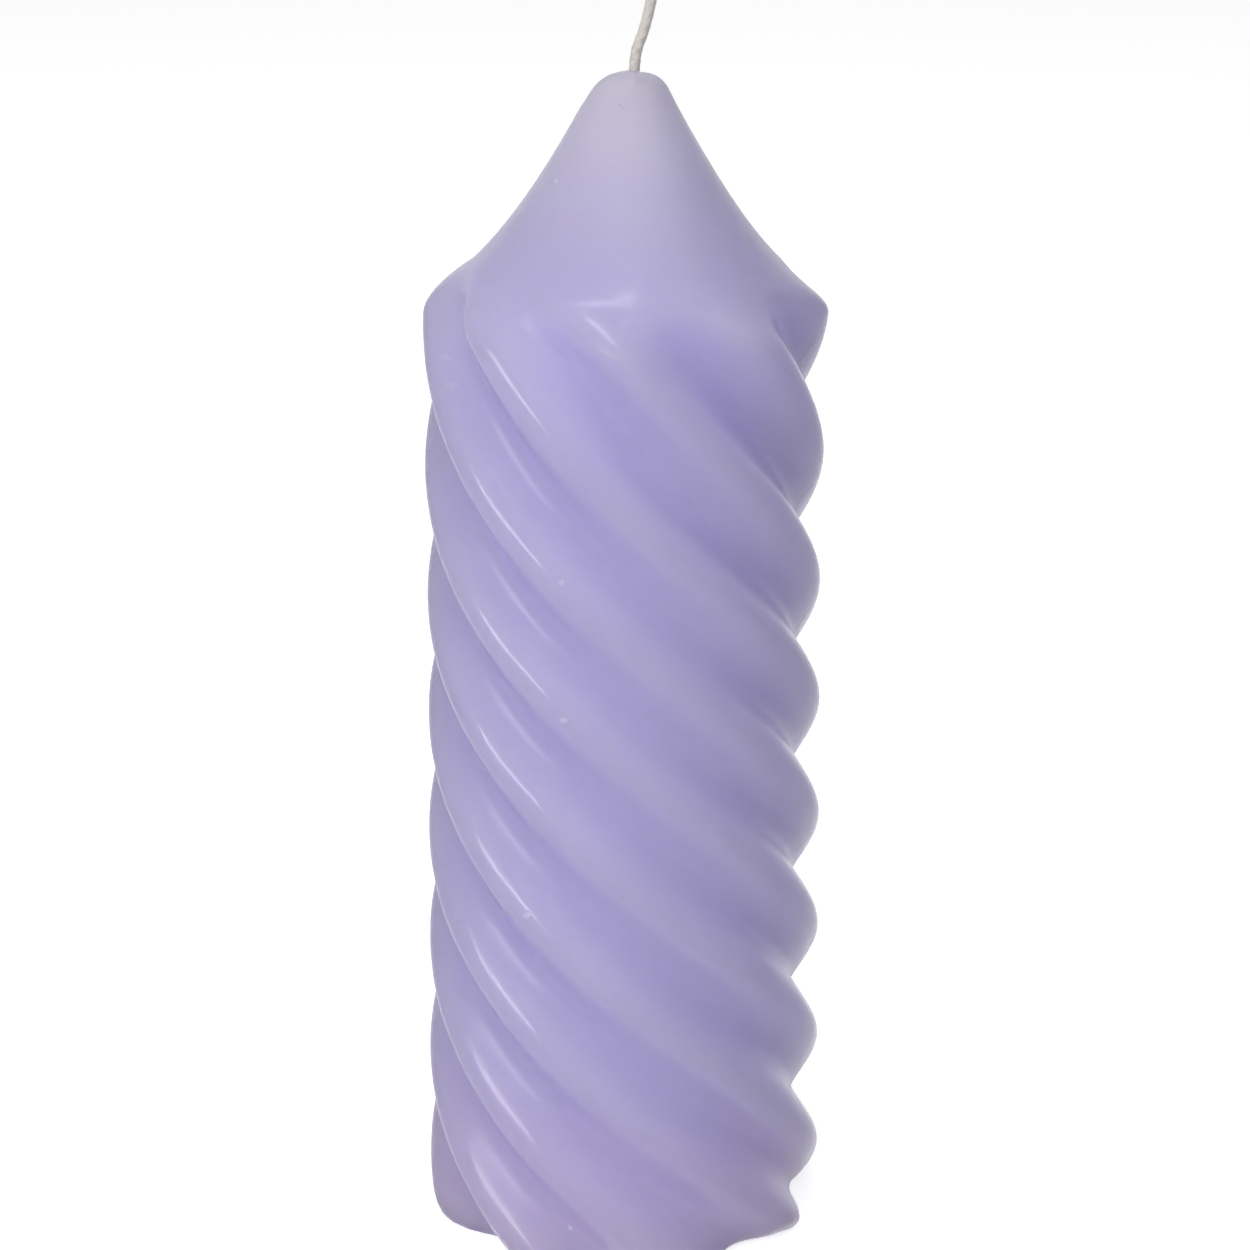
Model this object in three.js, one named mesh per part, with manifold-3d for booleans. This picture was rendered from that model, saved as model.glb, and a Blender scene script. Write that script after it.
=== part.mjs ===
// A twisted, fluted pillar candle with a pointed crown, in millimetres.
// +Z is up, the axis of the pillar is the Z axis, and the candle stands on the plane Z = 0.
// Three pieces: the cast wax body, the cotton wick through it, and the tinplate foot that holds the wick.
import * as THREE from 'three';
import { mergeVertices } from 'three/addons/utils/BufferGeometryUtils.js';
import Module from 'manifold-3d';

// Pillar
const waxHeight = 204; // base to tip
const crownHeight = 39.8; // the part of it above the shoulder
const baseDiameter = 70; // over the crests of the flutes
const draftAngle = 0.7; // degrees, by which the sides draw in towards the shoulder
const baseEdgeRound = 3.5;

// Flutes
const fluteCount = 8;
const fluteDepth = 4.7; // from crest to valley
const shoulderFluteDepth = 6.4;
const firstCrestAngle = 21.2; // degrees from +X, at the base
const twistPitch = 170; // height of one left-handed turn
const shoulderTwistPitch = 221.5;
const easeLength = 48; // below the shoulder, where the twist slows and the flutes deepen
const runOutLength = 8.8; // above the shoulder, where the flutes fade out

// Crown: a convex shoulder, a hollow flank and a domed tip
const shoulderRound = 9.5;
const shoulderFlare = 12.7; // degrees, by which the flank starts flatter than a straight cone
const neckRise = 7.8; // degrees, by which it ends steeper than a straight cone
const tipRound = 5.1;
const tipFlatDiameter = 4.5;

// Wick
const wickDiameter = 1.9;
const wickFreeLength = 21; // above the tip
const wickUprightLength = 2.5; // of that, how much stands straight before it leans
const wickBendRadius = 30;
const wickLean = 15; // degrees from upright, towards +X

// Foot of the wick
const sustainerDiameter = 20;
const sustainerThickness = 0.4;
const sustainerEdgeRound = 0.15;
const neckHeight = 6;
const neckWall = 0.35;
const neckRootRound = 0.4;
const sustainerLift = 0.3; // of its underside above the surface the candle stands on

// Clearances
const boreClearance = 0.3; // wick to wax
const crimpClearance = 0.3; // wick to foot
const seatClearance = 0.3; // foot to wax

// Fineness of the surfaces
const facetsPerFlute = 10;
const edgeRows = 4;
const pillarRows = 38;
const shoulderRows = 9;
const flankRows = 9;
const tipRows = 5;
const boreFacets = 24;
const sustainerFacets = 48;
const roundSteps = 3;
const wickSides = 8;
const wickStep = 3; // along the wick

const waxMaterial = new THREE.MeshStandardMaterial({ color: 0xb0a8d6, roughness: 0.38, metalness: 0 });
const wickMaterial = new THREE.MeshStandardMaterial({ color: 0xd8d5cf, roughness: 0.7, metalness: 0 });
const tinplateMaterial = new THREE.MeshStandardMaterial({ color: 0xb9bbbd, roughness: 0.35, metalness: 1 });

const wasm = await Module();
wasm.setup();

const radians = THREE.MathUtils.degToRad;

// Shapes shared by the pieces

// A closed body through a stack of rings with equally many points, capped at both ends.
function loft(rings) {
  const count = rings[0].length;
  const points = rings.flat();
  const faces = [];
  for (let row = 0; row + 1 < rings.length; row++) {
    for (let column = 0; column < count; column++) {
      const next = (column + 1) % count;
      const lowLeft = row * count + column;
      const lowRight = row * count + next;
      const highLeft = lowLeft + count;
      const highRight = lowRight + count;
      const rising = points[lowLeft].distanceTo(points[highRight]);
      const falling = points[lowRight].distanceTo(points[highLeft]);
      if (rising < falling) {
        faces.push(lowLeft, lowRight, highRight, lowLeft, highRight, highLeft);
      } else {
        faces.push(lowLeft, lowRight, highLeft, lowRight, highRight, highLeft);
      }
    }
  }
  const bottom = points.push(new THREE.Vector3(0, 0, rings[0][0].z)) - 1;
  const top = points.push(new THREE.Vector3(0, 0, rings.at(-1)[0].z)) - 1;
  const topRow = (rings.length - 1) * count;
  for (let column = 0; column < count; column++) {
    const next = (column + 1) % count;
    faces.push(bottom, next, column);
    faces.push(top, topRow + column, topRow + next);
  }
  return new THREE.BufferGeometry().setFromPoints(points).setIndex(faces);
}

// A body turned round the Z axis from a profile of [radius, height] points.
function turned(profile, facets) {
  const points = profile.map(([radius, height]) => new THREE.Vector2(radius, height));
  return new THREE.LatheGeometry(points, facets).rotateX(Math.PI / 2);
}

// The [radius, height] points of an arc, its ends included.
function arcPoints(centreRadius, centreHeight, round, from, to, steps) {
  const arc = new THREE.EllipseCurve(centreRadius, centreHeight, round, round, from, to, to < from);
  return arc.getPoints(steps).map((point) => [point.x, point.y]);
}

function solidFrom(geometry) {
  const bare = geometry.clone();
  bare.deleteAttribute('normal');
  bare.deleteAttribute('uv');
  const merged = mergeVertices(bare, 1e-4);
  const vertProperties = merged.attributes.position.array;
  const triVerts = new Uint32Array(merged.index.array);
  return new wasm.Manifold(new wasm.Mesh({ numProp: 3, vertProperties, triVerts }));
}

function cut(geometry, cutters) {
  let solid = solidFrom(geometry);
  for (const cutter of cutters) {
    solid = solid.subtract(solidFrom(cutter));
  }
  const mesh = solid.getMesh();
  const position = new THREE.BufferAttribute(mesh.vertProperties, 3);
  const index = new THREE.BufferAttribute(mesh.triVerts, 1);
  return new THREE.BufferGeometry().setAttribute('position', position).setIndex(index);
}

function named(name, geometry, material) {
  geometry.computeVertexNormals();
  const mesh = new THREE.Mesh(geometry, material);
  mesh.name = name;
  return mesh;
}

// Places that the pieces share
const wickRadius = wickDiameter / 2;
const boreRadius = wickRadius + boreClearance;
const neckBore = wickRadius + crimpClearance;
const neckRadius = neckBore + neckWall;
const plateTop = sustainerLift + sustainerThickness;
const neckTop = plateTop + neckHeight;

// Wax body

const shoulderHeight = waxHeight - crownHeight;
const easeStart = shoulderHeight - easeLength;
const columnCount = fluteCount * facetsPerFlute;

// How far up the eased stretch below the shoulder a height is: 0 at its start, 1 from the shoulder up.
function ease(height) {
  return THREE.MathUtils.clamp((height - easeStart) / easeLength, 0, 1);
}

// The direction of the first crest at a height. From the shoulder up, the twist keeps the shoulder's pitch.
function crestAngle(height) {
  const turnRate = (2 * Math.PI) / twistPitch;
  const slowing = turnRate - (2 * Math.PI) / shoulderTwistPitch;
  const slowedHeight = 0.5 * easeLength * ease(height) ** 2 + Math.max(height - shoulderHeight, 0);
  return radians(firstCrestAngle) - turnRate * height + slowing * slowedHeight;
}

// The radius midway between crests and valleys, up to the shoulder.
function meanRadius(height) {
  return (baseDiameter - fluteDepth) / 2 - Math.tan(radians(draftAngle)) * height;
}

// How far the crests stand out from the mean radius at a height.
function crestRise(height) {
  const depth = THREE.MathUtils.lerp(fluteDepth, shoulderFluteDepth, ease(height));
  const faded = THREE.MathUtils.smoothstep(height, shoulderHeight, shoulderHeight + runOutLength);
  return (depth / 2) * (1 - faded);
}

// Where two straight lines meet, each through a point and inclined inwards from upright.
function meetingPoint([radiusA, heightA], inclineA, [radiusB, heightB], inclineB) {
  const slopeA = Math.tan(inclineA);
  const slopeB = Math.tan(inclineB);
  const rise = (radiusA - radiusB - slopeB * (heightB - heightA)) / (slopeA - slopeB);
  return [radiusA - slopeA * rise, heightA + rise];
}

// The crown's mean profile, from the shoulder up and in to the flat of the tip.
function crownProfile() {
  const startRadius = meanRadius(shoulderHeight);
  const tipRadius = tipFlatDiameter / 2;
  const coneIncline = Math.atan2(startRadius - tipRadius, crownHeight);
  const shoulderIncline = coneIncline + radians(shoulderFlare);
  const neckIncline = coneIncline - radians(neckRise);
  const arcCentre = startRadius - shoulderRound;
  const shoulder = arcPoints(arcCentre, shoulderHeight, shoulderRound, 0, shoulderIncline, shoulderRows);
  const tip = arcPoints(tipRadius, waxHeight - tipRound, tipRound, neckIncline, Math.PI / 2, tipRows);
  const corner = meetingPoint(shoulder.at(-1), shoulderIncline, tip[0], neckIncline);
  const ends = [shoulder.at(-1), corner, tip[0]].map(([radius, height]) => new THREE.Vector2(radius, height));
  const flank = new THREE.QuadraticBezierCurve(...ends).getPoints(flankRows);
  const hollow = flank.slice(1, -1).map((point) => [point.x, point.y]);
  return [...shoulder, ...hollow, ...tip];
}

function waxBody() {
  // One fluted ring of the pillar, round a mean radius.
  const ring = (mean, height) => {
    const points = [];
    for (let column = 0; column < columnCount; column++) {
      const turn = (2 * Math.PI * column) / columnCount;
      const angle = crestAngle(height) + turn;
      const radius = mean + crestRise(height) * Math.cos(fluteCount * turn);
      points.push(new THREE.Vector3(radius * Math.cos(angle), radius * Math.sin(angle), height));
    }
    return points;
  };

  const rings = [];
  for (let row = 0; row < edgeRows; row++) {
    const angle = ((1 - row / edgeRows) * Math.PI) / 2;
    const height = baseEdgeRound * (1 - Math.sin(angle));
    rings.push(ring(meanRadius(height) - baseEdgeRound * (1 - Math.cos(angle)), height));
  }
  for (let row = 0; row < pillarRows; row++) {
    const height = THREE.MathUtils.lerp(baseEdgeRound, shoulderHeight, row / pillarRows);
    rings.push(ring(meanRadius(height), height));
  }
  for (const [mean, height] of crownProfile()) {
    rings.push(ring(mean, height));
  }

  // The wick's bore, the well round the foot's neck and the seat for its plate. Each cutter starts outside.
  const outside = 1;
  const cutter = (radius, top, facets) =>
    turned([[0, -outside], [radius, -outside], [radius, top], [0, top]], facets);
  const seat = cutter(sustainerDiameter / 2 + seatClearance, plateTop + seatClearance, sustainerFacets);
  const well = cutter(neckRadius + seatClearance, neckTop + seatClearance, boreFacets);
  const bore = cutter(boreRadius, waxHeight + outside, boreFacets);
  return cut(loft(rings), [seat, well, bore]);
}

// Wick

// The wick starts level with the foot's underside, runs up the axis, and leans over above the tip.
function wick() {
  const foot = new THREE.Vector3(0, 0, sustainerLift);
  const bendStart = new THREE.Vector3(0, 0, waxHeight + wickUprightLength);
  const lean = radians(wickLean);
  const along = (angle) =>
    new THREE.Vector3(wickBendRadius * (1 - Math.cos(angle)), 0, wickBendRadius * Math.sin(angle));
  const path = [foot];
  const uprightSteps = Math.round((bendStart.z - foot.z) / wickStep);
  for (let step = 1; step < uprightSteps; step++) {
    path.push(new THREE.Vector3().lerpVectors(foot, bendStart, step / uprightSteps));
  }
  const bendSteps = 4;
  for (let step = 0; step <= bendSteps; step++) {
    path.push(along((lean * step) / bendSteps).add(bendStart));
  }
  const straight = wickFreeLength - wickUprightLength - wickBendRadius * lean;
  const direction = new THREE.Vector3(Math.sin(lean), 0, Math.cos(lean));
  path.push(path.at(-1).clone().addScaledVector(direction, straight));

  const section = new THREE.Shape();
  for (let side = 0; side < wickSides; side++) {
    const angle = (2 * Math.PI * side) / wickSides;
    const point = [wickRadius * Math.cos(angle), wickRadius * Math.sin(angle)];
    if (side === 0) section.moveTo(...point);
    else section.lineTo(...point);
  }
  const extrudePath = new THREE.CatmullRomCurve3(path);
  const steps = Math.round(extrudePath.getLength() / wickStep);
  return new THREE.ExtrudeGeometry(section, { steps, extrudePath, bevelEnabled: false });
}

// Foot of the wick

// A disc with a neck drawn up out of it, stamped in one from tinplate.
function wickSustainer() {
  const rim = sustainerDiameter / 2;
  const round = sustainerEdgeRound;
  const root = neckRootRound;
  const quarter = Math.PI / 2;
  const profile = [
    [neckBore, sustainerLift],
    ...arcPoints(rim - round, sustainerLift + round, round, -quarter, 0, roundSteps),
    ...arcPoints(rim - round, plateTop - round, round, 0, quarter, roundSteps),
    ...arcPoints(neckRadius + root, plateTop + root, root, -quarter, -2 * quarter, roundSteps),
    [neckRadius, neckTop],
    [neckBore, neckTop],
    [neckBore, sustainerLift],
  ];
  return turned(profile, sustainerFacets);
}

const candle = new THREE.Group();
candle.add(named('wax_body', waxBody(), waxMaterial));
candle.add(named('wick', wick(), wickMaterial));
candle.add(named('wick_sustainer', wickSustainer(), tinplateMaterial));

export default candle;
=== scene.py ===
# Twisted pillar candle: the looks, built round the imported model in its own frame, in metres.
import math

import bpy
import numpy as np
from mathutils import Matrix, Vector


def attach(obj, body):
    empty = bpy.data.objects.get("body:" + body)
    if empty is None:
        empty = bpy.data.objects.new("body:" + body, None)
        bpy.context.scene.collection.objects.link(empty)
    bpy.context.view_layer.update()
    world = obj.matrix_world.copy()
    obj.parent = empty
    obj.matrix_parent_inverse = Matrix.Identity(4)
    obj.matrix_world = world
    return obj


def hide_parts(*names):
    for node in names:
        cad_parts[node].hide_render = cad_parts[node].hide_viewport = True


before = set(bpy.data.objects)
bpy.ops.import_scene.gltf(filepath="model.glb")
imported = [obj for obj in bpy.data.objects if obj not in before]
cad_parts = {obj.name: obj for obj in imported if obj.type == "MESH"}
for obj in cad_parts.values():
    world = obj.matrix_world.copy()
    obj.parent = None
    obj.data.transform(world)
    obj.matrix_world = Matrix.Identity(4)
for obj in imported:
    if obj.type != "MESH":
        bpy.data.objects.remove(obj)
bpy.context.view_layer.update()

scene = bpy.context.scene
scene.view_settings.view_transform = "Standard"

# Camera: a short telephoto look down at the pillar from a little above, as the photograph has it.
# The free end of the wick runs out of the top of the frame, and the near rim of the base out of the bottom.
camera_aim = Vector((0.0002, 0, 0.1089))
camera_distance = 0.630
camera_pitch = math.radians(19.4)
frame_width_at_aim = 0.2150
sensor_width = 36

camera_data = bpy.data.cameras.new("camera")
camera_data.sensor_width = sensor_width
camera_data.lens = sensor_width * camera_distance / frame_width_at_aim
camera = bpy.data.objects.new("camera", camera_data)
scene.collection.objects.link(camera)
towards_camera = Vector((0, -math.cos(camera_pitch), math.sin(camera_pitch)))
camera.location = camera_aim + camera_distance * towards_camera
camera.rotation_euler = (math.radians(90) - camera_pitch, 0, 0)
scene.camera = camera

# Studio: a pale floor that reads as white paper, a world of the same white, and soft lamps.
# The key is a wide, low softbox at the left of the camera, which draws the long streaks on the flutes.
# The narrow softbox almost straight above puts the soft bright spots on the shoulder.
floor_half_width = 4.0
paper_grey = (0.80, 0.80, 0.80, 1)
white = (1, 1, 1, 1)
floor_white = 0.72
world_fill = 0.10
lamp_aim = Vector((0, 0, 0.11))
warm_white = (1.0, 0.985, 0.955)
cool_white = (0.955, 0.970, 1.0)


def add_node(tree, kind, inputs=(), **settings):
    """A new node with its settings. An input's name or number goes with its value, or a socket to link."""
    node = tree.nodes.new(kind)
    for name, value in settings.items():
        setattr(node, name, value)
    for name, value in dict(inputs).items():
        if isinstance(value, bpy.types.NodeSocket):
            tree.links.new(value, node.inputs[name])
        else:
            node.inputs[name].default_value = value
    return node


def new_material(name):
    """An empty node material and its tree."""
    material = bpy.data.materials.new(name)
    material.use_nodes = True
    material.node_tree.nodes.clear()
    return material, material.node_tree


def seen_directly(tree):
    """1 for rays that show the studio itself: from the camera, by reflection or through glass."""
    path = add_node(tree, "ShaderNodeLightPath")
    seen = path.outputs["Is Camera Ray"]
    for kind in ("Is Glossy Ray", "Is Transmission Ray"):
        either = add_node(tree, "ShaderNodeMath", {0: seen, 1: path.outputs[kind]}, operation="MAXIMUM")
        seen = either.outputs[0]
    return seen


def make_floor():
    """A wide sheet of pale paper. Seen directly it is lifted to white, and it keeps the candle's shadow."""
    half = floor_half_width
    corners = [(-half, -half, 0), (half, -half, 0), (half, half, 0), (-half, half, 0)]
    mesh = bpy.data.meshes.new("floor")
    mesh.from_pydata(corners, [], [(0, 1, 2, 3)])
    floor = bpy.data.objects.new("floor", mesh)
    scene.collection.objects.link(floor)
    material, tree = new_material("floor_paper")
    paper = add_node(tree, "ShaderNodeBsdfDiffuse", {"Color": paper_grey})
    lift = add_node(tree, "ShaderNodeMath", {0: seen_directly(tree), 1: floor_white}, operation="MULTIPLY")
    glow = add_node(tree, "ShaderNodeEmission", {"Color": white, "Strength": lift.outputs[0]})
    both = add_node(tree, "ShaderNodeAddShader", {0: paper.outputs[0], 1: glow.outputs[0]})
    add_node(tree, "ShaderNodeOutputMaterial", {"Surface": both.outputs[0]})
    mesh.materials.append(material)


def make_world():
    """Plain white all round where it is seen directly, and a weak fill light elsewhere."""
    world = bpy.data.worlds.new("studio")
    scene.world = world
    world.use_nodes = True
    tree = world.node_tree
    tree.nodes.clear()
    levels = {"Value": seen_directly(tree), "To Min": world_fill, "To Max": 1.0}
    strength = add_node(tree, "ShaderNodeMapRange", levels)
    light = add_node(tree, "ShaderNodeBackground", {"Color": white, "Strength": strength.outputs[0]})
    add_node(tree, "ShaderNodeOutputWorld", {"Surface": light.outputs[0]})


def add_softbox(name, azimuth, elevation, distance, width, height, power, colour=(1, 1, 1)):
    """An area lamp aimed at the pillar. Azimuth is from the camera's side, to the right."""
    data = bpy.data.lights.new(name, "AREA")
    data.shape = "RECTANGLE"
    data.size = width
    data.size_y = height
    data.energy = power
    data.color = colour
    lamp = bpy.data.objects.new(name, data)
    scene.collection.objects.link(lamp)
    turn, rise = math.radians(azimuth), math.radians(elevation)
    out = Vector((math.sin(turn) * math.cos(rise), -math.cos(turn) * math.cos(rise), math.sin(rise)))
    lamp.location = lamp_aim + distance * out
    lamp.rotation_euler = (-out).to_track_quat("-Z", "Y").to_euler()


make_floor()
make_world()
add_softbox("key", -33, 22, distance=1.4, width=0.95, height=0.18, power=9.2, colour=warm_white)
add_softbox("top", -42, 80, distance=1.6, width=0.80, height=0.18, power=5.6)
add_softbox("overhead", 30, 57, distance=1.7, width=2.0, height=1.4, power=10.3, colour=cool_white)
add_softbox("back", 180, 60, distance=1.7, width=1.8, height=1.4, power=1.3)

# Wax body: candle wax cast in one pour in a two-part mould, with eight flutes twisted left-handed.
# A turned blank of the mean radius is fluted and twisted by a rule, then gets the cast's small faults.
wax_height = 0.204
crown_height = 0.0398
base_diameter = 0.070
draft_angle = math.radians(0.7)
base_edge_round = 0.0035
flute_count = 8
flute_depth = 0.0047
shoulder_flute_depth = 0.0064
first_crest_angle = math.radians(21.2)
twist_pitch = 0.170
shoulder_twist_pitch = 0.2215
ease_length = 0.048
run_out_length = 0.0088
shoulder_round = 0.0095
shoulder_flare = math.radians(12.7)
neck_rise = math.radians(7.8)
tip_round = 0.0051
tip_flat_radius = 0.00225
wick_radius = 0.00095
seat_radius = 0.0103
seat_depth = 0.0010
well_radius = 0.0019
well_height = 0.0070
bore_radius = 0.6 * wick_radius
flat_base_radius = 0.024
round_within_radius = 0.011
fluted_from_radius = 0.023
lean_start = 0.135
tip_lean = 0.0009
wick_exit = (0.0008, 0.0006)

# The blank's columns and rings are close enough together to keep its curves smooth.
columns_per_flute = 36
base_rings = 6
base_edge_steps = 8
pillar_row_height = 0.0008
shoulder_steps = 22
flank_steps = 47
tip_steps = 14
tip_ring_shares = (0.85, 0.7, 0.55)


class Number:
    """A number in a node tree. Its arithmetic adds the Math nodes that work it out."""

    def __init__(self, tree, socket):
        self.tree = tree
        self.socket = socket

    def work_out(self, operation, *values):
        """What a Math node makes of the values, each a number in the tree or a plain one."""
        node = self.tree.nodes.new("ShaderNodeMath")
        node.operation = operation
        for socket, value in zip(node.inputs, values):
            if isinstance(value, Number):
                self.tree.links.new(value.socket, socket)
            else:
                socket.default_value = value
        return Number(self.tree, node.outputs[0])

    def apply(self, operation, *others):
        """What a Math node makes of this number and any others after it."""
        return self.work_out(operation, self, *others)

    def __add__(self, other):
        return self.apply("ADD", other)

    def __radd__(self, other):
        return self.work_out("ADD", other, self)

    def __sub__(self, other):
        return self.apply("SUBTRACT", other)

    def __rsub__(self, other):
        return self.work_out("SUBTRACT", other, self)

    def __mul__(self, other):
        return self.apply("MULTIPLY", other)

    def __truediv__(self, other):
        return self.apply("DIVIDE", other)

    def __rtruediv__(self, other):
        return self.work_out("DIVIDE", other, self)

    def clamped(self, low, high):
        """This number, kept from going below low or above high."""
        return self.apply("MAXIMUM", low).apply("MINIMUM", high)

    def smooth_step(self, start, end):
        """0 up to start, 1 from end on, and an even S between them. It falls where end is below start."""
        share = ((self - start) / (end - start)).clamped(0, 1)
        return share * share * (3 - share * 2)


def mean_radius(height):
    """The radius midway between crests and valleys, up to the shoulder."""
    return (base_diameter - flute_depth) / 2 - math.tan(draft_angle) * height


def arc_points(centre, radius, start, end, steps):
    """(radius, height) points of an arc round a centre, its ends included."""
    angles = np.linspace(start, end, steps + 1)
    return [(centre[0] + radius * math.cos(a), centre[1] + radius * math.sin(a)) for a in angles]


def crown_profile():
    """(radius, height) points from the shoulder up and in to the flat of the tip."""
    shoulder_height = wax_height - crown_height
    start_radius = mean_radius(shoulder_height)
    cone = math.atan2(start_radius - tip_flat_radius, crown_height)
    shoulder_incline = cone + shoulder_flare
    neck_incline = cone - neck_rise
    arc_centre = (start_radius - shoulder_round, shoulder_height)
    shoulder = arc_points(arc_centre, shoulder_round, 0, shoulder_incline, shoulder_steps)
    tip_centre = (tip_flat_radius, wax_height - tip_round)
    tip = arc_points(tip_centre, tip_round, neck_incline, math.pi / 2, tip_steps)

    # The hollow flank leaves both arcs without a kink, bent towards the corner of their two tangents.
    (radius_a, height_a), (radius_b, height_b) = shoulder[-1], tip[0]
    slope_a, slope_b = math.tan(shoulder_incline), math.tan(neck_incline)
    rise = (radius_a - radius_b - slope_b * (height_b - height_a)) / (slope_a - slope_b)
    corner_radius, corner_height = radius_a - slope_a * rise, height_a + rise
    flank = []
    for t in np.linspace(0, 1, flank_steps + 1)[1:-1]:
        near, middle, far = (1 - t) ** 2, 2 * t * (1 - t), t**2
        radius = near * radius_a + middle * corner_radius + far * radius_b
        height = near * height_a + middle * corner_height + far * height_b
        flank.append((radius, height))
    return shoulder + flank + tip


def turned_mesh(name, profile, columns):
    """A closed ring-shaped mesh turned round Z from a closed loop of (radius, height) points."""
    count = len(profile)
    angles = np.arange(columns) * (2 * math.pi / columns)
    loop = np.array(profile)
    points = np.empty((columns, count, 3))
    points[:, :, 0] = np.cos(angles)[:, None] * loop[:, 0]
    points[:, :, 1] = np.sin(angles)[:, None] * loop[:, 0]
    points[:, :, 2] = loop[:, 1]
    faces = []
    for column in range(columns):
        here, there = column * count, (column + 1) % columns * count
        for row in range(count):
            after = (row + 1) % count
            faces.append((here + row, there + row, there + after, here + after))
    mesh = bpy.data.meshes.new(name)
    mesh.from_pydata(points.reshape(-1, 3).tolist(), [], faces)
    mesh.update()
    return mesh


def wax_blank():
    """The pillar before it is fluted, with the seat and the bore that the wick's foot and the wick fill."""
    shoulder_height = wax_height - crown_height
    profile = [(radius, 0) for radius in np.linspace(seat_radius, flat_base_radius, base_rings)]
    for angle in np.linspace(math.pi / 2, 0, base_edge_steps + 1)[:-1]:
        height = base_edge_round * (1 - math.sin(angle))
        profile.append((mean_radius(height) - base_edge_round * (1 - math.cos(angle)), height))
    rows = round((shoulder_height - base_edge_round) / pillar_row_height)
    for height in np.linspace(base_edge_round, shoulder_height, rows, endpoint=False):
        profile.append((mean_radius(height), height))
    profile += crown_profile()
    profile += [(share * tip_flat_radius, wax_height) for share in tip_ring_shares]
    profile += [(bore_radius, wax_height), (bore_radius, well_height)]
    profile += [(well_radius, well_height), (well_radius, seat_depth), (seat_radius, seat_depth)]
    return turned_mesh("wax_body_blank", profile, flute_count * columns_per_flute)


def shape_tree(name, sizes):
    """A Geometry Nodes tree with named inputs for its sizes, its inputs, and the sizes as numbers."""
    tree = bpy.data.node_groups.new(name, "GeometryNodeTree")
    tree.interface.new_socket("Geometry", in_out="INPUT", socket_type="NodeSocketGeometry")
    for label, value in sizes.items():
        socket = tree.interface.new_socket(label, in_out="INPUT", socket_type="NodeSocketFloat")
        socket.default_value = value
    tree.interface.new_socket("Material", in_out="INPUT", socket_type="NodeSocketMaterial")
    tree.interface.new_socket("Geometry", in_out="OUTPUT", socket_type="NodeSocketGeometry")
    given = tree.nodes.new("NodeGroupInput").outputs
    return tree, given, {label: Number(tree, given[label]) for label in sizes}


def end_shape(tree, geometry, material):
    """Ends a tree: the shape is shaded smooth, realized and given its material."""
    smooth = add_node(tree, "GeometryNodeSetShadeSmooth", {"Geometry": geometry})
    realized = add_node(tree, "GeometryNodeRealizeInstances", {"Geometry": smooth.outputs[0]})
    dressed = {"Geometry": realized.outputs[0], "Material": material}
    painted = add_node(tree, "GeometryNodeSetMaterial", dressed)
    add_node(tree, "NodeGroupOutput", {"Geometry": painted.outputs[0]})


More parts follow.
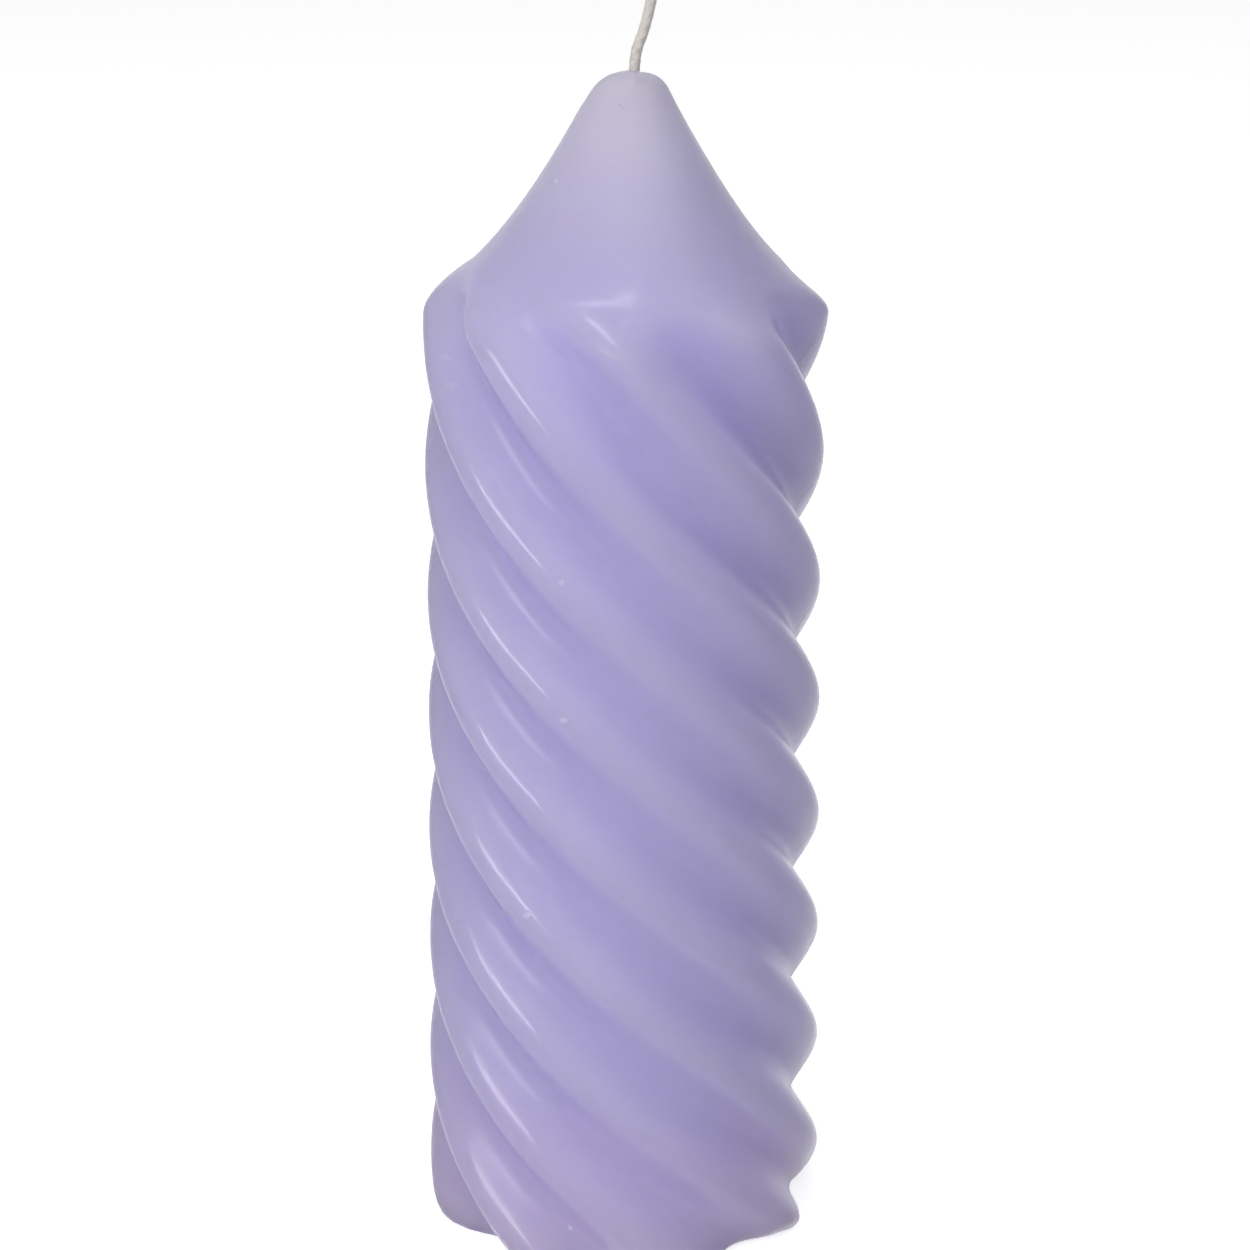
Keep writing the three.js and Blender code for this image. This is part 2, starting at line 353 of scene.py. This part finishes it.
def flutes_tree():
    """Geometry Nodes: raises twisted flutes on a turned blank, with the slants and swells of a casting."""
    sizes = {
        "Flute Count": flute_count,
        "Flute Depth": flute_depth,
        "Shoulder Flute Depth": shoulder_flute_depth,
        "First Crest Angle": first_crest_angle,
        "Twist Pitch": twist_pitch,
        "Shoulder Twist Pitch": shoulder_twist_pitch,
        "Shoulder Height": wax_height - crown_height,
        "Ease Length": ease_length,
        "Run-Out Length": run_out_length,
        "Lean Start": lean_start,
        "Tip Height": wax_height,
        "Tip Lean": tip_lean,
        "Wick Side Shift": wick_exit[0],
        "Wick Back Shift": wick_exit[1],
        "Tip Depth": 0.006,
        "Tip Rise": 0.0012,
        "Tip Back Slope": 0.5,
        "Tip Ridge": -0.0012,
        "Tip Right Start": 0.0016,
        "Tip Right End": 0.0030,
        "Tip Right Drop": 0.0003,
        "Tip Left Start": 0.0004,
        "Tip Left Slope": 0.22,
        "Unevenness": 0.00022,
        "Unevenness Scale": 38.0,
        "Base Wear": 0.0005,
        "Base Wear Scale": 260.0,
        "Seed": 4.0,
    }
    tree, given, size = shape_tree("Twisted flutes", sizes)

    def point(x, y, z):
        axes = {"X": x.socket, "Y": y.socket, "Z": z.socket}
        return add_node(tree, "ShaderNodeCombineXYZ", axes).outputs[0]

    place = add_node(tree, "GeometryNodeInputPosition")
    split = add_node(tree, "ShaderNodeSeparateXYZ", {"Vector": place.outputs[0]})
    x, y, z = (Number(tree, split.outputs[axis]) for axis in "XYZ")
    blank_radius = (x * x + y * y).apply("SQRT")
    turn = y.apply("ARCTAN2", x)

    # The twist slows and the flutes deepen over the eased stretch, then the flutes run out into the crown.
    # The seat and the bore stay round.
    full_turn = 2 * math.pi
    shoulder = size["Shoulder Height"]
    ease = ((z - shoulder) / size["Ease Length"] + 1).clamped(0, 1)
    turn_rate = full_turn / size["Twist Pitch"]
    slowing = turn_rate - full_turn / size["Shoulder Twist Pitch"]
    slowed_height = size["Ease Length"] * ease * ease * 0.5 + (z - shoulder).apply("MAXIMUM", 0)
    angle = turn + size["First Crest Angle"] - turn_rate * z + slowing * slowed_height
    depth = size["Flute Depth"] + (size["Shoulder Flute Depth"] - size["Flute Depth"]) * ease
    not_run_out = z.smooth_step(shoulder + size["Run-Out Length"], shoulder)
    outside = blank_radius.smooth_step(round_within_radius, fluted_from_radius)
    crest = (turn * size["Flute Count"]).apply("COSINE") * not_run_out * outside
    radius = blank_radius + depth * 0.5 * crest

    # A casting is never quite even: slow swells in the wall, and small chips in the edge of the base.
    # The noise stays near 0.5, and seldom falls more than 0.2 below it.
    fluted_place = point(angle.apply("COSINE") * radius, angle.apply("SINE") * radius, z)

    def noise(scale):
        inputs = {"Vector": fluted_place, "W": size["Seed"].socket, "Scale": scale.socket}
        return Number(tree, add_node(tree, "ShaderNodeTexNoise", inputs, noise_dimensions="4D").outputs[0])

    clear_of_bore = blank_radius.smooth_step(0.001, 0.004)
    clear_of_base = z.smooth_step(0.0002, 0.004)
    at_base_edge = z.smooth_step(0.0045, 0.0015)
    swell = (noise(size["Unevenness Scale"]) - 0.5) * size["Unevenness"] * 2
    radius = radius + swell * clear_of_bore * clear_of_base
    chips = (0.5 - noise(size["Base Wear Scale"])).apply("MAXIMUM", 0) * 5 * size["Base Wear"]
    radius = radius - chips * outside * at_base_edge

    # The crown leans a little, and the bore leaves it a little off its middle.
    lean = z.smooth_step(size["Lean Start"], size["Tip Height"])
    at_bore = blank_radius.smooth_step(0.0022, 0.0008)
    new_x = angle.apply("COSINE") * radius + lean * (size["Tip Lean"] + at_bore * size["Wick Side Shift"])
    new_y = angle.apply("SINE") * radius + lean * at_bore * size["Wick Back Shift"]

    # The top is a ridge in front of the wick: it slopes off to the back and to both sides of the wick.
    top = z.smooth_step(size["Tip Height"] - size["Tip Depth"], size["Tip Height"])
    back = (new_y - size["Tip Ridge"]).apply("MAXIMUM", 0) * size["Tip Back Slope"]
    right_side = new_x.smooth_step(size["Tip Right Start"], size["Tip Right End"]) * size["Tip Right Drop"]
    left_side = (size["Tip Left Start"] - new_x).apply("MAXIMUM", 0) * size["Tip Left Slope"]
    new_z = z + top * (size["Tip Rise"] - back - right_side - left_side)

    # The material reads this value: 1 on a crest, -1 in a valley and 0 where there are no flutes.
    note = {"Geometry": given["Geometry"], "Name": "crest", "Value": crest.socket}
    marked = add_node(tree, "GeometryNodeStoreNamedAttribute", note, data_type="FLOAT", domain="POINT")
    move = {"Geometry": marked.outputs[0], "Position": point(new_x, new_y, new_z)}
    shaped = add_node(tree, "GeometryNodeSetPosition", move)
    end_shape(tree, shaped.outputs[0], given["Material"])
    return tree


def grown_by(tree, start, name, values):
    """What a Geometry Nodes tree makes of a mesh or curve, as a plain object with no modifier."""
    source = bpy.data.objects.new(name + "_source", start)
    scene.collection.objects.link(source)
    modifier = source.modifiers.new("shape", "NODES")
    modifier.node_group = tree
    for item in tree.interface.items_tree:
        if item.in_out == "INPUT" and item.name in values:
            modifier[item.identifier] = values[item.name]
    graph = bpy.context.evaluated_depsgraph_get()
    made = bpy.data.meshes.new_from_object(source.evaluated_get(graph), depsgraph=graph)
    made.name = name
    bpy.data.objects.remove(source)
    piece = bpy.data.objects.new(name, made)
    scene.collection.objects.link(piece)
    return piece


def wax_surface_group():
    """Shader group: the cloudy bloom, smudged gloss and faint dimples of cast wax."""
    group = bpy.data.node_groups.new("Wax surface", "ShaderNodeTree")
    for name, kind, value in (
        ("Vector", "NodeSocketVector", None),
        ("Cloud Scale", "NodeSocketFloat", 60.0),
        ("Roughness", "NodeSocketFloat", 0.33),
        ("Smudge", "NodeSocketFloat", 0.10),
        ("Dimple Depth", "NodeSocketFloat", 0.00002),
    ):
        socket = group.interface.new_socket(name, in_out="INPUT", socket_type=kind)
        if value is not None:
            socket.default_value = value
    group.interface.new_socket("Bloom", in_out="OUTPUT", socket_type="NodeSocketFloat")
    group.interface.new_socket("Roughness", in_out="OUTPUT", socket_type="NodeSocketFloat")
    group.interface.new_socket("Normal", in_out="OUTPUT", socket_type="NodeSocketVector")
    given = group.nodes.new("NodeGroupInput").outputs
    fine_scale = Number(group, given["Cloud Scale"]) * 4
    cloud_inputs = {"Vector": given["Vector"], "Scale": given["Cloud Scale"], "Detail": 5.0}
    fine_inputs = {"Vector": given["Vector"], "Scale": fine_scale.socket, "Detail": 3.0}
    cloud = add_node(group, "ShaderNodeTexNoise", cloud_inputs)
    fine = add_node(group, "ShaderNodeTexNoise", fine_inputs)
    bloom = Number(group, cloud.outputs[0]) * 0.75 + Number(group, fine.outputs[0]) * 0.25
    spread = (bloom - 0.5) * 2
    rough = Number(group, given["Roughness"]) + spread * Number(group, given["Smudge"])
    dimples = {"Height": bloom.socket, "Strength": 1.0, "Distance": given["Dimple Depth"]}
    bump = add_node(group, "ShaderNodeBump", dimples)
    results = {"Bloom": bloom.socket, "Roughness": rough.socket, "Normal": bump.outputs[0]}
    add_node(group, "NodeGroupOutput", results)
    return group


wax_surface = wax_surface_group()


def mark_group():
    """Shader group: one small mark with a ragged edge, as a share that fades out from its middle."""
    raggedness = 1.2
    fade = (1.3, 0.6)
    group = bpy.data.node_groups.new("Mark", "ShaderNodeTree")
    for name, kind in (("Vector", "Vector"), ("Centre", "Vector"), ("Width", "Float"), ("Height", "Float")):
        group.interface.new_socket(name, in_out="INPUT", socket_type="NodeSocket" + kind)
    group.interface.new_socket("Share", in_out="OUTPUT", socket_type="NodeSocketFloat")
    given = group.nodes.new("NodeGroupInput").outputs
    ends = {0: given["Vector"], 1: given["Centre"]}
    away = add_node(group, "ShaderNodeVectorMath", ends, operation="SUBTRACT")
    split = add_node(group, "ShaderNodeSeparateXYZ", {"Vector": away.outputs[0]})
    x, y, z = (Number(group, split.outputs[axis]) for axis in "XYZ")
    across = (x * x + y * y).apply("SQRT") / Number(group, given["Width"])
    up = z / Number(group, given["Height"])
    fine_grain = {"Vector": given["Vector"], "Scale": 1600.0, "Detail": 2.0}
    grain = add_node(group, "ShaderNodeTexNoise", fine_grain)
    ragged = (Number(group, grain.outputs[0]) - 0.5) * raggedness
    reach = (across * across + up * up).apply("SQRT") + ragged
    add_node(group, "NodeGroupOutput", {"Share": reach.smooth_step(*fade).socket})
    return group


wax_mark = mark_group()


def wax_material():
    """Lilac wax: light sinks in and spreads, so edges glow. The valleys are tinted a darker, deeper violet
    as painted shade.
    """
    lilac = (0.436, 0.403, 0.645, 1)
    bloom_white = (0.520, 0.490, 0.700, 1)
    # Painted shade: the valleys are tinted this darker, deeper violet.
    valley_painted_shade = (0.388, 0.355, 0.640, 1)
    rosy_base = (0.455, 0.385, 0.620, 1)
    pale_tip = (0.545, 0.510, 0.670, 1)
    # Painted highlight: a pale rosy patch on the tip just below the wick.
    rosy_painted_highlight = (0.560, 0.480, 0.660, 1)
    nick_pale = (0.700, 0.670, 0.830, 1)
    speck_dark = (0.200, 0.170, 0.280, 1)
    tip_blend_heights = (0.174, 0.203)
    base_blend_heights = (0.045, 0.002)
    valley_dullness = 0.22
    least_roughness = 0.08
    most_roughness = 0.265
    nick_height = 0.00012
    seam_share_of_nick = 0.5
    seam_waver = 0.0004
    seam_fade = (0.00028, 0.00008)

    material, tree = new_material("wax")
    place = add_node(tree, "ShaderNodeTexCoord")
    finish = {
        "Vector": place.outputs["Object"],
        "Cloud Scale": 70,
        "Roughness": 0.15,
        "Smudge": 0.07,
        "Dimple Depth": 0.00006,
    }
    surface = add_node(tree, "ShaderNodeGroup", finish, node_tree=wax_surface)
    split = add_node(tree, "ShaderNodeSeparateXYZ", {"Vector": place.outputs["Object"]})
    height = Number(tree, split.outputs["Z"])
    crest = add_node(tree, "ShaderNodeAttribute", attribute_name="crest")
    below_crest = (1 - Number(tree, crest.outputs["Fac"])) * 0.5
    in_valley = below_crest * below_crest
    rough = Number(tree, surface.outputs["Roughness"]) + in_valley * valley_dullness
    rough = rough.clamped(least_roughness, most_roughness)

    # Nicks are paler than the wax round them and stand a little proud of it. Rubbed spots are only paler.
    # A few specks are darker. The pale rosy patch on the tip where the wick leaves it is a painted
    # highlight.
    def marks(*places):
        shares = []
        for centre, wide, high in places:
            sizes = {"Vector": place.outputs["Object"], "Centre": centre, "Width": wide, "Height": high}
            mark = add_node(tree, "ShaderNodeGroup", sizes, node_tree=wax_mark)
            shares.append(Number(tree, mark.outputs["Share"]))
        return sum(shares).clamped(0, 1)

    nicks = marks(
        ((-0.0112, -0.0077, 0.1881), 0.0006, 0.0004),
        ((-0.0102, -0.0315, 0.1272), 0.0005, 0.0005),
        ((-0.0100, -0.0322, 0.1036), 0.0007, 0.0004),
        ((-0.0163, -0.0297, 0.0677), 0.0006, 0.0006),
        ((-0.0094, -0.0287, 0.0079), 0.0004, 0.0004),
    )
    rubs = marks(
        ((-0.0295, -0.0099, 0.1592), 0.0014, 0.0005),
        ((-0.0282, -0.0132, 0.1554), 0.0012, 0.0005),
    )
    specks = marks(
        ((-0.0006, -0.0072, 0.2006), 0.0002, 0.0002),
        ((-0.0002, -0.0074, 0.2003), 0.0002, 0.0002),
    )
    # Where the painted highlight lies on the tip, below where the wick leaves it.
    painted_highlight_share = marks(((0.0030, -0.0050, 0.2034), 0.0018, 0.0016))

    # The mould's halves met in a fine raised line up both sides.
    cloud = Number(tree, surface.outputs["Bloom"]) - 0.5
    off_seam = (Number(tree, split.outputs["Y"]) + cloud * seam_waver).apply("ABSOLUTE")
    seam = off_seam.smooth_step(*seam_fade)
    raised = {
        "Height": (nicks + seam * seam_share_of_nick).socket,
        "Distance": nick_height,
        "Normal": surface.outputs["Normal"],
    }
    relief = add_node(tree, "ShaderNodeBump", raised)

    # Each tint is mixed over the last, where it lies and as strongly as the share after it says.
    # A Mix node's factor and two colours are its inputs 0, 6 and 7, and their mix is its output 2.
    # The valley tint below is painted shade, laid on where the flutes dip.
    tints = (
        (bloom_white, (cloud * 1.6 + 0.25).clamped(0, 1), 0.35),
        (valley_painted_shade, in_valley, 0.4),
        (rosy_base, height.smooth_step(*base_blend_heights), 0.7),
        (pale_tip, height.smooth_step(*tip_blend_heights), 0.9),
        # Painted highlight: the pale rosy patch below the wick.
        (rosy_painted_highlight, painted_highlight_share, 0.6),
        (nick_pale, nicks, 0.4),
        (nick_pale, rubs, 0.12),
        (speck_dark, specks, 0.3),
    )
    colour = lilac
    for tint, where, strength in tints:
        layer = {0: (where * strength).socket, 6: colour, 7: tint}
        colour = add_node(tree, "ShaderNodeMix", layer, data_type="RGBA").outputs[2]

    look = {
        "Base Color": colour,
        "Roughness": rough.socket,
        "Normal": relief.outputs[0],
        "IOR": 1.44,
        "Specular IOR Level": 0.22,
        "Subsurface Weight": 1.0,
        "Subsurface Radius": (0.9, 0.8, 1.6),
        "Subsurface Scale": 0.018,
    }
    shader = add_node(tree, "ShaderNodeBsdfPrincipled", look, subsurface_method="BURLEY")
    add_node(tree, "ShaderNodeOutputMaterial", {"Surface": shader.outputs[0]})
    return material


wax_body = grown_by(flutes_tree(), wax_blank(), "wax_body_cast", {"Material": wax_material()})
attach(wax_body, "root")
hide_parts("wax_body")

# Wick: eight ends of cotton braided round a core, then drawn through wax so that it stands by itself.
# It runs from the foot up the middle of the pillar and leans over where it leaves the tip.
wick_start = 0.0003
wick_bends = (
    (0.0021, 0.0007, 0.2080),
    (0.0033, 0.0007, 0.2115),
    (0.0043, 0.0007, 0.2155),
    (0.0052, 0.0007, 0.2200),
    (0.0058, 0.0007, 0.2235),
)
strand_count = 8
strand_radius = 0.00036
strand_ring_radius = 0.00055
strand_weave = 0.00003
braid_pitch = 0.0080
core_radius = 0.00088
strand_step = 0.00035
strand_sides = 8
core_sides = 8
lean_steps = 8
bend_steps = 24


def wick_path():
    """The wick's middle line: up the bore, which follows the crown's lean, then through its free bends."""
    points = [(0, 0, wick_start), (0, 0, lean_start)]
    for height in np.linspace(lean_start, wax_height, lean_steps + 1)[1:]:
        share = (height - lean_start) / (wax_height - lean_start)
        lean = share * share * (3 - 2 * share)
        points.append((lean * (tip_lean + wick_exit[0]), lean * wick_exit[1], height))
    points += wick_bends
    curve = bpy.data.curves.new("wick_path", "CURVE")
    curve.dimensions = "3D"
    curve.resolution_u = bend_steps
    spline = curve.splines.new("BEZIER")
    spline.bezier_points.add(len(points) - 1)
    for point, place in zip(spline.bezier_points, points):
        point.co = place
        point.handle_left_type = "AUTO"
        point.handle_right_type = "AUTO"
    return curve


def braid_tree():
    """Geometry Nodes: two families of strands wind opposite ways round a path, over and under in turn."""
    sizes = {
        "Strand Radius": strand_radius,
        "Ring Radius": strand_ring_radius,
        "Weave": strand_weave,
        "Pitch": braid_pitch,
        "Core Radius": core_radius,
        "Strands A Way": strand_count / 2,
    }
    tree, given, size = shape_tree("Braided wick", sizes)

    def vector_math(operation, first, second):
        return add_node(tree, "ShaderNodeVectorMath", {0: first, 1: second}, operation=operation).outputs[0]

    def scaled(vector, factor):
        inputs = {0: vector, "Scale": factor.socket}
        return add_node(tree, "ShaderNodeVectorMath", inputs, operation="SCALE").outputs[0]

    # Even strands wind one way and odd ones the other, spread evenly round the path.
    steps = {"Curve": given["Geometry"], "Length": strand_step}
    path = add_node(tree, "GeometryNodeResampleCurve", steps, mode="LENGTH")
    strands = {"Geometry": path.outputs[0], "Amount": strand_count}
    copies = add_node(tree, "GeometryNodeDuplicateElements", strands, domain="SPLINE")
    number = Number(tree, copies.outputs["Duplicate Index"])
    family = number.apply("MODULO", 2)
    way = 1 - family * 2
    place_in_family = (number * 0.5).apply("FLOOR")
    along = Number(tree, add_node(tree, "GeometryNodeSplineParameter").outputs["Length"])
    wound = along / size["Pitch"] * (2 * math.pi)
    angle = way * wound + place_in_family / size["Strands A Way"] * (2 * math.pi)
    over = (wound * size["Strands A Way"]).apply("COSINE") * way * size["Weave"]
    radius = size["Ring Radius"] + over

    tangent = add_node(tree, "GeometryNodeInputTangent").outputs[0]
    normal = add_node(tree, "GeometryNodeInputNormal").outputs[0]
    across = vector_math("CROSS_PRODUCT", tangent, normal)
    along_normal = scaled(normal, angle.apply("COSINE") * radius)
    along_across = scaled(across, angle.apply("SINE") * radius)
    move = {"Geometry": copies.outputs[0], "Offset": vector_math("ADD", along_normal, along_across)}
    wound_strands = add_node(tree, "GeometryNodeSetPosition", move)

    def tube(curve, radius, sides):
        circle = {"Resolution": sides, "Radius": radius.socket}
        ring = add_node(tree, "GeometryNodeCurvePrimitiveCircle", circle, mode="RADIUS")
        inputs = {"Curve": curve, "Profile Curve": ring.outputs[0], "Fill Caps": True}
        return add_node(tree, "GeometryNodeCurveToMesh", inputs).outputs[0]

    joined = add_node(tree, "GeometryNodeJoinGeometry")
    tree.links.new(tube(wound_strands.outputs[0], size["Strand Radius"], strand_sides), joined.inputs[0])
    tree.links.new(tube(path.outputs[0], size["Core Radius"], core_sides), joined.inputs[0])
    end_shape(tree, joined.outputs[0], given["Material"])
    return tree


def two_tone(tree, share, *stops):
    """A colour that goes from one stop's to the other's, each stop a share and its colour."""
    ramp = add_node(tree, "ShaderNodeValToRGB", {"Fac": share})
    for element, (position, colour) in zip(ramp.color_ramp.elements, stops):
        element.position = position
        element.color = colour
    return ramp.outputs["Color"]


def wick_material():
    """Off-white cotton under a skin of wax."""
    waxy_cotton = (0.70, 0.66, 0.62, 1)
    dry_cotton = (0.86, 0.82, 0.78, 1)
    material, tree = new_material("waxed_cotton")
    place = add_node(tree, "ShaderNodeTexCoord")
    finish = {
        "Vector": place.outputs["Object"],
        "Cloud Scale": 900,
        "Roughness": 0.55,
        "Smudge": 0.15,
        "Dimple Depth": 0.00003,
    }
    surface = add_node(tree, "ShaderNodeGroup", finish, node_tree=wax_surface)
    look = {
        "Base Color": two_tone(tree, surface.outputs["Bloom"], (0.3, waxy_cotton), (0.7, dry_cotton)),
        "Roughness": surface.outputs["Roughness"],
        "Normal": surface.outputs["Normal"],
        "Subsurface Weight": 0.3,
        "Subsurface Radius": (1, 1, 1),
        "Subsurface Scale": 0.0006,
    }
    shader = add_node(tree, "ShaderNodeBsdfPrincipled", look)
    add_node(tree, "ShaderNodeOutputMaterial", {"Surface": shader.outputs[0]})
    return material


wick = grown_by(braid_tree(), wick_path(), "wick_braid", {"Material": wick_material()})
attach(wick, "root")
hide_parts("wick")

# Foot of the wick: a disc stamped from tinplate, with a neck drawn up out of it and crimped on the wick.
# It sits in a shallow seat in the base, a little clear of the surface the candle stands on.


def tinplate_material():
    """Dull tin over steel, with the faint rings and scuffs of stamping."""
    grey_tin = (0.42, 0.42, 0.43, 1)
    pale_tin = (0.60, 0.60, 0.61, 1)
    material, tree = new_material("tinplate")
    place = add_node(tree, "ShaderNodeTexCoord")
    grain = {"Vector": place.outputs["Object"], "Scale": 900.0, "Detail": 4.0}
    spangle = add_node(tree, "ShaderNodeTexNoise", grain).outputs[0]
    scuffs = {"Value": spangle, "To Min": 0.3, "To Max": 0.5}
    rough = add_node(tree, "ShaderNodeMapRange", scuffs)
    circles = {"Vector": place.outputs["Object"], "Scale": 420.0, "Distortion": 1.5}
    rings = add_node(tree, "ShaderNodeTexWave", circles, wave_type="RINGS", rings_direction="Z")
    faint = {"Height": rings.outputs["Fac"], "Strength": 0.6, "Distance": 0.00003}
    bump = add_node(tree, "ShaderNodeBump", faint)
    look = {
        "Base Color": two_tone(tree, spangle, (0.35, grey_tin), (0.65, pale_tin)),
        "Metallic": 1.0,
        "Roughness": rough.outputs[0],
        "Normal": bump.outputs[0],
    }
    shader = add_node(tree, "ShaderNodeBsdfPrincipled", look)
    add_node(tree, "ShaderNodeOutputMaterial", {"Surface": shader.outputs[0]})
    return material


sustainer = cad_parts["wick_sustainer"]
sustainer.data.materials.clear()
sustainer.data.materials.append(tinplate_material())
